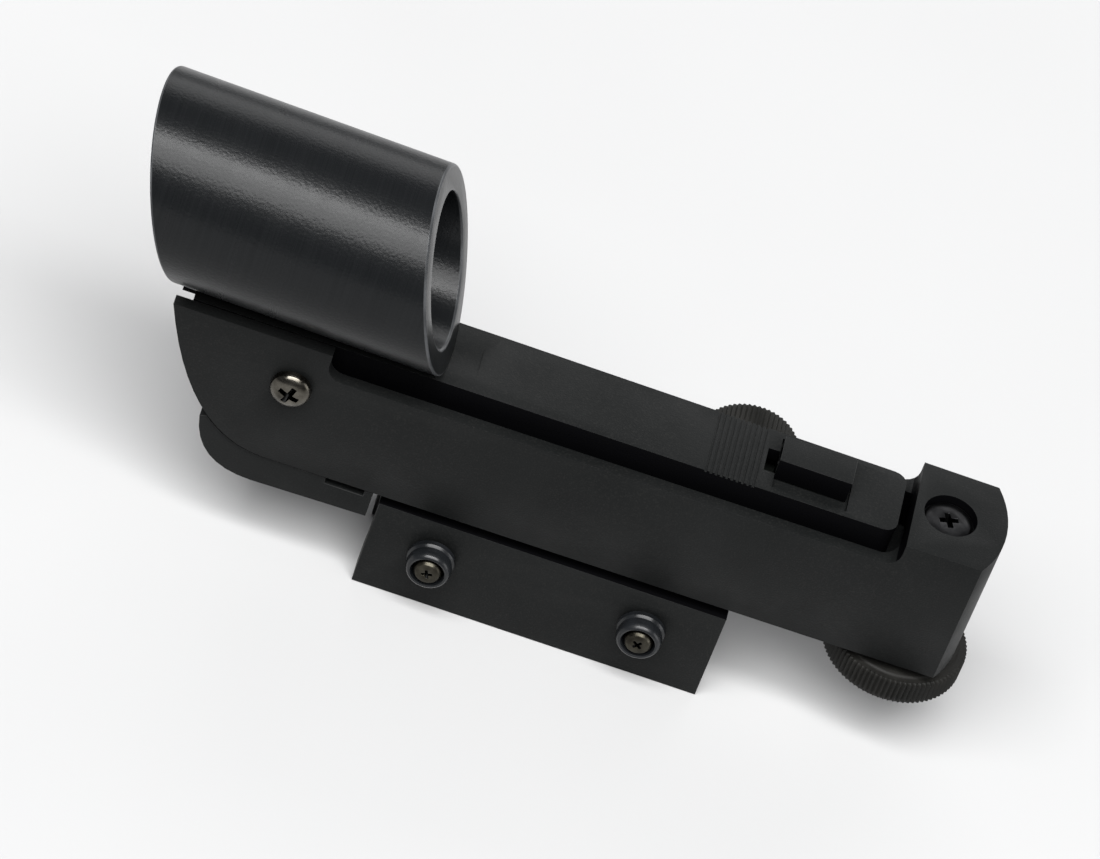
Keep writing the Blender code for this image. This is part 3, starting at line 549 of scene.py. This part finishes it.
# %% [markdown]
# ## The milled pieces
# The channel holds everything, the shoe under it slides on the telescope's bar, the beam
# carries the tube and the lamp, and the curved cover closes the battery bay. All four are
# simple solids with many edges, so they are copied and rounded.

# %% Channel, shoe, beam, cover and hood
WALL_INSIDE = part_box("base_channel")[1].y - 1.2 * MM
BLOCK_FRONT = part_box("sight_beam")[1].x + 1.5 * MM
LEANS = 0.6


def between_walls(centre, normal):
    inside = abs(centre.y) < WALL_INSIDE and centre.x < BLOCK_FRONT and centre.z > 0
    return inside and normal.z < LEANS


def not_facing_up(centre, normal):
    return normal.z < LEANS


def facing_up(centre, normal):
    return normal.z > LEANS


def at_the_sides(centre, normal):
    return abs(normal.y) > LEANS


def nowhere(centre, normal):
    return False


# The faces chosen below get painted shade: between the channel's walls, the shoe's top, the beam's
# sides and the hood's sides.
rounded_copy("base_channel", 0.3 * MM, BODY, "channel", "body_black", between_walls)
rounded_copy("mounting_shoe", 0.3 * MM, BODY, "mount", "body_black", facing_up)
rounded_copy("sight_beam", 0.25 * MM, BODY, "sight", "body_black", not_facing_up)
rounded_copy("battery_cover", 0.3 * MM, BODY, "battery_door", "body_black", nowhere)
rounded_copy("led_hood", 0.3 * MM, BODY, "sight", "body_black", at_the_sides)



# %% [markdown]
# ## A lathe in a few lines
# `bmesh.ops.spin` turns a profile about an axis. With `use_merge` a full turn closes on itself.
# The profile's corners are first cut back into small curves, as a real tool leaves them.
# A merged spin lists its points in no set order, and a later cut depends on that order, so the
# turned shape is put into a fixed order first.

# %% Profile and lathe helpers
def soften(points, reach, steps=3):
    """The same open profile with each inner corner made a small curve."""
    found = [Vector(points[0])]
    for before, corner, after in zip(points, points[1:], points[2:]):
        a, b, c = Vector(before), Vector(corner), Vector(after)
        start = b + (a - b).normalized() * min(reach, (a - b).length * 0.45)
        end = b + (c - b).normalized() * min(reach, (c - b).length * 0.45)
        for i in range(steps + 1):
            t = i / steps
            found.append(start * (1 - t) ** 2 + b * 2 * t * (1 - t) + end * t * t)
    return found + [Vector(points[-1])]


def in_fixed_order(shape):
    """The same shape, with its points and faces always in the same order."""
    def place(vert):
        return tuple(round(c, 7) + 0.0 for c in vert.co)

    places = sorted(place(vert) for vert in shape.verts)
    number = {spot: i for i, spot in enumerate(places)}
    loops = []
    for face in shape.faces:
        loop = [number[place(vert)] for vert in face.verts]
        first = loop.index(min(loop))
        loops.append(tuple(loop[first:] + loop[:first]))
    shape.free()
    ordered = bmesh.new()
    corners = [ordered.verts.new(spot) for spot in places]
    for loop in sorted(loops):
        ordered.faces.new([corners[i] for i in loop])
    return ordered


def lathe(profile, start, direction, steps=64, closed=False):
    """Spins (radius, height) points in mm about the line from start along direction."""
    shape = bmesh.new()
    corners = [shape.verts.new((r * MM, 0, h * MM)) for r, h in profile]
    pairs = list(zip(corners, corners[1:])) + ([(corners[-1], corners[0])] if closed else [])
    edges = [shape.edges.new(pair) for pair in pairs]
    bmesh.ops.spin(
        shape,
        geom=corners + edges,
        cent=(0, 0, 0),
        axis=(0, 0, 1),
        angle=math.tau,
        steps=steps,
        use_merge=True,
    )
    bmesh.ops.remove_doubles(shape, verts=shape.verts, dist=1e-7)
    bmesh.ops.recalc_face_normals(shape, faces=shape.faces)
    shape = in_fixed_order(shape)
    turn = Vector((0, 0, 1)).rotation_difference(Vector(direction)).to_matrix().to_4x4()
    shape.transform(Matrix.Translation(start) @ turn)
    return shape


# %% [markdown]
# ## The sight tube
# The tube is a round bar, cut off at a slant at both ends and bored out. The front bore is a
# little wider and tilted, because the window sits in it facing halfway between the lamp and
# the eye. `bisect_plane` makes the slants and Boolean modifiers bore it.

# %% Where the tube lies
tube_low, tube_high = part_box("sight_tube")
TUBE_RADIUS = (tube_high.y - tube_low.y) / 2
TUBE_PITCH = math.radians(1.4)
TUBE_MIDDLE = Vector((-49.25, 0, 43.2)) * MM
TUBE_AXIS = Vector((math.cos(TUBE_PITCH), 0, -math.sin(TUBE_PITCH)))
BORE_RADIUS = 11.0 * MM
SEAT_RADIUS = 12.0 * MM
FRONT_LOW, FRONT_HIGH = Vector((-63.75, 0, 28.45)) * MM, Vector((-75.05, 0, 57.95)) * MM
BACK_LOW, BACK_HIGH = Vector((-24.05, 0, 28.45)) * MM, Vector((-33.7, 0, 57.95)) * MM
lens_low, lens_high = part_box("window_lens")
print("tube radius", round(TUBE_RADIUS / MM, 2), "mm")


# %% Rods, and carving with Boolean modifiers
def rod(radius, middle, axis, length, sides=144):
    """A capped cylinder about a point."""
    shape = bmesh.new()
    turn = Vector((0, 0, 1)).rotation_difference(axis).to_matrix().to_4x4()
    bmesh.ops.create_cone(
        shape,
        cap_ends=True,
        segments=sides,
        radius1=radius,
        radius2=radius,
        depth=length,
        matrix=Matrix.Translation(middle) @ turn,
    )
    return shape


def carve(shape, *cutters):
    """The shape less the cutters. All of them are bmeshes, and the cutters are used up."""
    scene_objects = bpy.context.scene.collection.objects
    helpers = []
    for number, part in enumerate((shape, *cutters)):
        mesh = bpy.data.meshes.new("carving")
        part.to_mesh(mesh)
        part.free()
        helper = bpy.data.objects.new(f"carving_{number}", mesh)
        scene_objects.link(helper)
        helpers.append(helper)
    for cutter in helpers[1:]:
        step = helpers[0].modifiers.new("cut", "BOOLEAN")
        step.operation = "DIFFERENCE"
        step.solver = "EXACT"
        step.object = cutter
    bpy.context.view_layer.update()
    graph = bpy.context.evaluated_depsgraph_get()
    carved = bmesh.new()
    carved.from_mesh(helpers[0].evaluated_get(graph).to_mesh())
    for helper in helpers:
        bpy.data.objects.remove(helper)
    return carved


# %% Cut, bore and round the tube
def slant(shape, low, high, outwards):
    """Cuts everything beyond the slanted plane through low and high, and closes the cut."""
    lean = (high - low).normalized()
    normal = lean.cross(Vector((0, 1, 0)))
    normal *= outwards * (1 if normal.x > 0 else -1)
    everything = shape.verts[:] + shape.edges[:] + shape.faces[:]
    cut = bmesh.ops.bisect_plane(
        shape, geom=everything, plane_co=low, plane_no=normal, clear_outer=True
    )
    rim = [e for e in cut["geom_cut"] if isinstance(e, bmesh.types.BMEdge)]
    bmesh.ops.contextual_create(shape, geom=rim)


def window_axis():
    """Towards the eye side, square to the window's face."""
    tip = (lens_low + lens_high) / 2
    lamp_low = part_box("led")[0]
    lamp = Vector((lamp_low.x, 0, (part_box("led_hood")[1].z - 2.1 * MM)))
    drop = math.atan2(TUBE_MIDDLE.z - lamp.z, lamp.x + 61.5 * MM) / 2
    return tip, Vector((math.cos(drop), 0, -math.sin(drop)))


LENS_MIDDLE, LENS_AXIS = window_axis()
tube = rod(TUBE_RADIUS, TUBE_MIDDLE, TUBE_AXIS, 70 * MM)
slant(tube, FRONT_LOW, FRONT_HIGH, -1)
slant(tube, BACK_LOW, BACK_HIGH, 1)
bore = rod(BORE_RADIUS, TUBE_MIDDLE, TUBE_AXIS, 80 * MM)
seat_end = LENS_MIDDLE + LENS_AXIS * 1.9 * MM
seat = rod(SEAT_RADIUS, seat_end - LENS_AXIS * 15 * MM, LENS_AXIS, 30 * MM)
tube = carve(tube, bore, seat)
round_edges(tube, 0.35 * MM, 4, 40)
add_piece("sight_tube_turned", tube, TUBE, "sight", "tube_black", "sight_tube")

# %% [markdown]
# ## The window
# Two equal spherical curves, one in front of the other, bend no light that passes through, yet
# the coated one works as a hollow mirror for the lamp. The profile is computed from the
# sphere's radius and spun. A threaded ring in front holds the glass.

# %% Spin the window and its ring
LENS_RADIUS = 11.7
LENS_THICKNESS = 2.2
LAMP_DISTANCE = 89.2


def lens_profile(steps=8):
    sphere = 2 * LAMP_DISTANCE
    radii = [LENS_RADIUS * i / steps for i in range(steps + 1)]
    back = [(r, r * r / (2 * sphere)) for r in radii]
    front = [(r, h - LENS_THICKNESS) for r, h in reversed(back)]
    return back[:-1] + [(LENS_RADIUS - 0.15, back[-1][1]), (LENS_RADIUS, back[-1][1] - 0.15)] + [
        (LENS_RADIUS, front[0][1] + 0.15),
        (LENS_RADIUS - 0.15, front[0][1]),
    ] + front[1:]


window_start = LENS_MIDDLE + LENS_AXIS * 0.9 * MM
lens_shape = lathe(lens_profile(), window_start, LENS_AXIS, 96)
add_piece("window_glass", lens_shape, GLASS, "sight", "window_glass", "window_lens")
ring_profile = [(10.3, -2.5), (11.6, -2.5), (11.7, -2.7), (11.7, -3.9), (11.5, -4.1), (10.9, -4.1)]
ring_shape = lathe(ring_profile + [(10.3, -3.6)], window_start, LENS_AXIS, 96, closed=True)
add_piece("window_ring_turned", ring_shape, TUBE, "sight", "tube_black", "window_ring")

# %% [markdown]
# ## Knurled knobs
# A knurled rim is a row of straight ribs that fingers can grip. The knob is spun with several
# steps for each rib, and then the outermost points are drawn in and out by a cosine.

# %% Knurling helper
def knurl(shape, start, direction, teeth, depth, reach):
    """Draws the points beyond reach (mm from the axis) in by up to depth, in ribs."""
    axis = Vector(direction).normalized()
    side = axis.orthogonal().normalized()
    up = axis.cross(side)
    for vert in shape.verts:
        out = vert.co - Vector(start)
        out -= axis * out.dot(axis)
        if out.length > reach * MM:
            angle = math.atan2(out.dot(up), out.dot(side))
            share = 0.5 - 0.5 * math.cos(teeth * angle)
            vert.co -= out.normalized() * depth * MM * share


# %% Height knob under the rear block
low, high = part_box("altitude_knob")
place = Vector(((low.x + high.x) / 2, 0, low.z))
radius = (high.y - low.y) / 2 / MM
tall = (high.z - low.z) / MM
RIM = 0.35
knob_profile = [(0, 0.7), (2.05, 0.7), (2.05, tall), (radius - 1.6, tall)]
knob_profile += [(radius - 1.3, tall - 0.25)]
knob_profile += [(radius - RIM, tall - 0.25), (radius, tall - 0.25 - RIM), (radius, RIM + 0.35)]
knob_profile += [(radius - RIM, 0.35), (radius - 1.3, 0.3), (radius - 1.7, 0), (0, 0)]
HEIGHT_TEETH = 84
knob = lathe(soften(knob_profile, 0.18, 2), place, (0, 0, 1), HEIGHT_TEETH * 6)
knurl(knob, place, (0, 0, 1), HEIGHT_TEETH, 0.38, radius - 0.5)
add_piece("altitude_knob_knurled", knob, KNOB, "altitude_adjuster", "knob_black", "altitude_knob")

# %% Side knob and brightness knob on the far wall
low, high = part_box("azimuth_knob")
place = Vector(((low.x + high.x) / 2, low.y, (low.z + high.z) / 2))
radius = (high.x - low.x) / 2 / MM
tall = (high.y - low.y) / MM
dome = [(0, tall), (radius - 4.2, tall - 0.12), (radius - 2.4, tall - 0.5)]
dome += [(radius - 1.1, tall - 0.95)]
side_profile = dome + [(radius, tall - 1.7), (radius, 0.6), (radius - 0.6, 0), (1.7, 0)]
side_profile += [(1.7, tall - 2), (0, tall - 2)]
SIDE_TEETH = 60
knob = lathe(soften(side_profile, 0.25, 3), place, (0, 1, 0), SIDE_TEETH * 6)
knurl(knob, place, (0, 1, 0), SIDE_TEETH, 0.28, radius - 0.3)
add_piece("azimuth_knob_knurled", knob, KNOB, "azimuth_adjuster", "knob_black", "azimuth_knob")

low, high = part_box("brightness_knob")
place = Vector(((low.x + high.x) / 2, low.y, (low.z + high.z) / 2))
radius = (high.x - low.x) / 2 / MM
tall = (high.y - low.y) / MM
dial_profile = [(0, tall - 0.5), (radius - 1.6, tall - 0.5), (radius - 1.3, tall)]
dial_profile += [(radius - 0.6, tall)]
dial_profile += [(radius, tall - 0.6), (radius, 0.3), (radius - 0.3, 0), (1.8, 0)]
dial_profile += [(1.8, 2.6), (0, 2.6)]
DIAL_TEETH = 36
dial = lathe(soften(dial_profile, 0.2, 3), place, (0, 1, 0), DIAL_TEETH * 6)
knurl(dial, place, (0, 1, 0), DIAL_TEETH, 0.3, radius - 0.25)
add_piece("brightness_dial", dial, KNOB, "brightness_control", "knob_black", "brightness_knob")


# %% [markdown]
# ## Screws with a cross recess
# A pan-head screw is a dome on a shaft. Its recess is a cross that narrows as it goes in, made
# from two cubes whose inner ends are scaled down. The threads are hidden in their holes, so the
# shafts are plain.

# %% Cross recess helper
def cross_cutters(face, inwards, reach, width, depth, turn=0.0):
    """Two tapering bars that meet in a cross, sunk into the head from its face (all in mm)."""
    cutters = []
    for quarter in (0, 1):
        bar = bmesh.new()
        bmesh.ops.create_cube(bar, size=1.0)
        bmesh.ops.scale(bar, vec=(2 * reach * MM, width * MM, 2 * depth * MM), verts=bar.verts)
        tip = [v for v in bar.verts if v.co.z < 0]
        bmesh.ops.scale(bar, vec=(0.35, 0.8, 1), verts=tip)
        aim = Vector((0, 0, -1)).rotation_difference(Vector(inwards)).to_matrix().to_4x4()
        spin = Matrix.Rotation(turn + quarter * math.pi / 2 + quarter * 0.003, 4, "Z")
        bar.transform(Matrix.Translation(face) @ aim @ spin)
        cutters.append(bar)
    return cutters


# %% Mark a recess for painted shade
DEEPEST_RECESS = 2.1 * MM


def mark_recess(shape, face, inwards, reach, skin):
    """Marks the faces near the screw's axis that lie deeper than skin (mm) under its face, for
    painted shade.
    """
    inner = shape.faces.layers.float.new("inner")
    axis = Vector(inwards)
    for part in shape.faces:
        across = part.calc_center_median() - face
        deep = across.dot(axis)
        side = (across - axis * deep).length
        part[inner] = float(side < reach * MM and skin * MM < deep < DEEPEST_RECESS)


# %% The pivot screw
low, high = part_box("pivot_screw")
middle = (low + high) / 2
head_high = 2.2
PAN_RADIUS, PAN_RIM = 3.05, 0.75
PAN_RISE = 1.45
shaft = (high.y - low.y) / MM - head_high
base = Vector((middle.x, low.y + head_high * MM, middle.z))
pan = [(0, head_high)]
for angle in (0.35, 0.7, 1.0, 1.25, 1.45, math.pi / 2):
    pan.append((PAN_RADIUS * math.sin(angle), PAN_RIM + PAN_RISE * math.cos(angle)))
pan += [(PAN_RADIUS, 0.12), (PAN_RADIUS - 0.12, 0), (1.5, 0), (1.5, 0.5 - shaft)]
pan += [(1.2, -shaft), (0, -shaft)]
screw = lathe(pan, base, (0, -1, 0), 72)
face = base - Vector((0, head_high * MM, 0))
screw = carve(screw, *cross_cutters(face, (0, 1, 0), 2.6, 0.95, 1.5, 1.22))
round_edges(screw, 0.05 * MM, 2, 50)
mark_recess(screw, face, (0, 1, 0), 2.0, 0.32)
add_piece("pivot_screw_nickel", screw, NICKEL, "channel", "screw_bright", "pivot_screw")


# %% Clamp bushes and their screws in the shoe's near wall
def clamp(end, body):
    """A glossy bush with a rounded lip, and the bright screw in it."""
    low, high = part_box(f"clamp_bush_{end}")
    face_y = low.y + 3.6 * MM
    place = Vector(((low.x + high.x) / 2, face_y, (low.z + high.z) / 2))
    out = (0, -1, 0)
    lip = [(2.45, 3.2), (2.6, 3.52), (2.85, 3.6), (3.05, 3.5), (3.3, 3.1), (3.42, 2.5), (3.42, 1.9)]
    waist = [(3.3, 1.75), (3.3, 1.5), (3.45, 1.35), (3.6, 1.15), (3.6, 0.42), (3.5, 0.3)]
    inside = [(2.3, 0.3), (2.3, -2.1), (1.75, -2.1), (1.75, 0.2), (2.45, 0.2)]
    bush = lathe(lip + waist + inside, place, out, 72, closed=True)
    add_piece(f"clamp_bush_{end}_gloss", bush, BUSH, "mount", "bush_black", f"clamp_bush_{end}")
    s_low, s_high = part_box(f"clamp_screw_{end}")
    top = (face_y - s_low.y) / MM
    tip = (face_y - s_high.y) / MM
    head = [(0, top), (1.2, top), (1.75, top - 0.12), (2.05, top - 0.45), (2.1, top - 0.7)]
    shank = [(2.1, 0.5), (1.45, 0.5), (1.45, tip + 0.3), (1.15, tip), (0, tip)]
    screw = lathe(head + shank, place, out, 64)
    face = place + Vector((0, -top * MM, 0))
    turn = 0.3 if end == "front" else 0.9
    screw = carve(screw, *cross_cutters(face, (0, 1, 0), 1.25, 0.5, 0.9, turn))
    round_edges(screw, 0.04 * MM, 2, 50)
    mark_recess(screw, face, (0, 1, 0), 1.2, 0.15)
    add_piece(f"clamp_screw_{end}_aged", screw, AGED, body, "screw_bright", f"clamp_screw_{end}")


clamp("front", "front_clamp")
clamp("rear", "rear_clamp")

# %% The countersunk height screw
low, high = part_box("altitude_screw")
middle = (low + high) / 2
top = high.z / MM
end = low.z / MM
base = Vector((middle.x, middle.y, 0))
sunk = [(0, top - 0.05), (2.4, top - 0.05), (3.4, top - 0.12), (3.72, top - 0.3)]
sunk += [(3.75, top - 0.55)]
sunk += [(1.75, top - 2.5), (1.75, end + 0.3), (1.5, end), (0, end)]
screw = lathe(sunk, base, (0, 0, 1), 72)
face = Vector((middle.x, middle.y, high.z))
screw = carve(screw, *cross_cutters(face, (0, 0, -1), 2.2, 0.95, 1.7, 0.35))
round_edges(screw, 0.06 * MM, 2, 50)
mark_recess(screw, face, (0, 0, -1), 2.2, 0.2)
add_piece(
    "altitude_screw_sunk", screw, BLACK_STEEL, "altitude_adjuster", "screw_black", "altitude_screw"
)

# %% [markdown]
# ## The pieces that stay as they are
# Inner pieces, such as washers, boards and leads, already have the right shape. They only need
# their finish, which goes in the material slot of each one's object.

# %% Finish the inner pieces
FINISHES = {
    NYLON: ("swivel_washer", "pivot_washer_near", "pivot_washer_far", "altitude_washer"),
    BLACK_STEEL: ("swivel_screw", "azimuth_screw", "azimuth_collar", "brightness_pot",
                  "tube_screw_front", "tube_screw_rear"),
    BRASS: ("azimuth_post", "altitude_nut", "brightness_shaft", "battery_contact_top",
            "battery_contact_side"),
    NICKEL: ("pivot_nut",),
    BOARD: ("circuit_board",),
    DARK_BOARD: ("led_board",),
    CELL: ("coin_cell",),
    LEAD_RED: ("battery_lead_red",),
    LEAD_DARK: ("battery_lead_dark", "led_lead"),
    LAMP: ("led",),
}
for finish, nodes in FINISHES.items():
    for node in nodes:
        piece = frame["nodes"][node]
        for place in piece.material_slots:
            place.material = finish
print("finished", sum(len(nodes) for nodes in FINISHES.values()), "inner pieces")

# %% [markdown]
# ## Measure and finish
# The box of the visible pieces is printed, to set beside the working model's box printed at the
# start.

# %% Write the visual model's box
low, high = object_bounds()
print("visual model, mm:", [round(s / MM, 1) for s in high - low])
